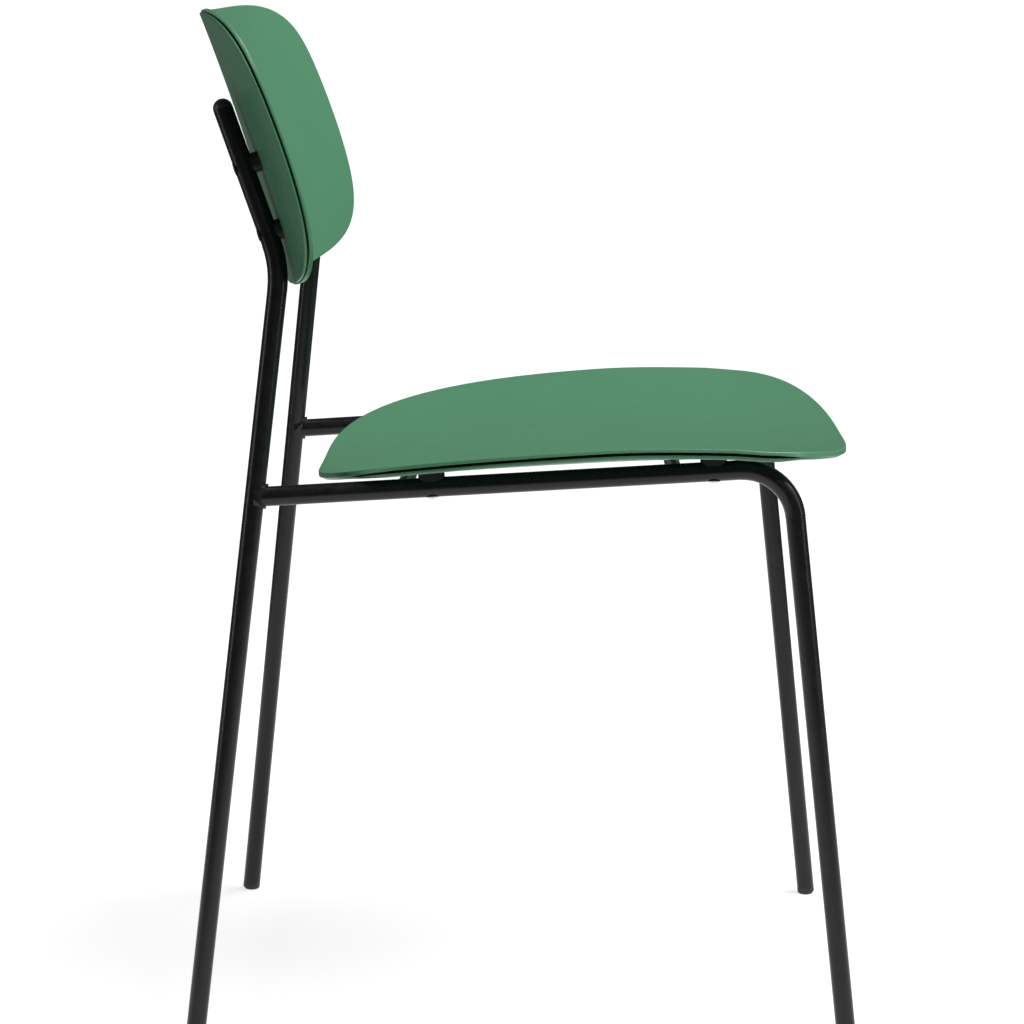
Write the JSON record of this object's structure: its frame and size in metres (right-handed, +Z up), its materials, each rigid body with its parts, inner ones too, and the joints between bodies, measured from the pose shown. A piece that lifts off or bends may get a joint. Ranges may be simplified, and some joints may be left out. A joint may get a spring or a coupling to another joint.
{
  "type": "stacking chair",
  "caption": "Stacking chair with a bent tube frame, a dished seat and a separate curved backrest, both two-layer shells on spacers.",
  "frame": {"origin": "on the floor, below the middle of the chair's bounding box", "axes": "+Z up; -Y is the front, the way the sitter faces; +X is the sitter's left"},
  "size_m": [0.4382, 0.5193, 0.7945],
  "materials": {
    "frame_paint": "satin black powder coat",
    "shell_green": "satin",
    "core_dark": "matt",
    "spacer_black": "matt",
    "cap_grey": "satin",
    "glide_black": "satin",
    "screw_zinc": "zinc plated",
    "screw_black": "black coated",
    "insert_brass": "plain"
  },
  "bodies": {
    "root": {"rear_leg_left": "frame_paint", "rear_leg_right": "frame_paint", "seat_rail_left": "frame_paint", "seat_rail_right": "frame_paint", "cross_tube_front": "frame_paint", "cross_tube_rear": "frame_paint", "weld_bead_left": "frame_paint", "weld_bead_right": "frame_paint", "weld_beads_cross": "frame_paint", "upright_cap_left": "cap_grey", "upright_cap_right": "cap_grey", "glide_front_left": "glide_black", "glide_front_right": "glide_black", "glide_rear_left": "glide_black", "glide_rear_right": "glide_black", "seat_top_shell": "shell_green", "seat_core": "core_dark", "seat_under_shell": "shell_green", "back_front_shell": "shell_green", "back_core": "core_dark", "back_rear_shell": "shell_green", "seat_spacer_front_left": "spacer_black", "seat_spacer_front_right": "spacer_black", "seat_spacer_rear_left": "spacer_black", "seat_spacer_rear_right": "spacer_black", "back_spacer_upper_left": "spacer_black", "back_spacer_upper_right": "spacer_black", "back_spacer_lower_left": "spacer_black", "back_spacer_lower_right": "spacer_black", "seat_screws": "screw_zinc", "back_screws": "screw_black", "seat_inserts": "insert_brass", "back_inserts": "insert_brass"}
  },
  "joints": []
}
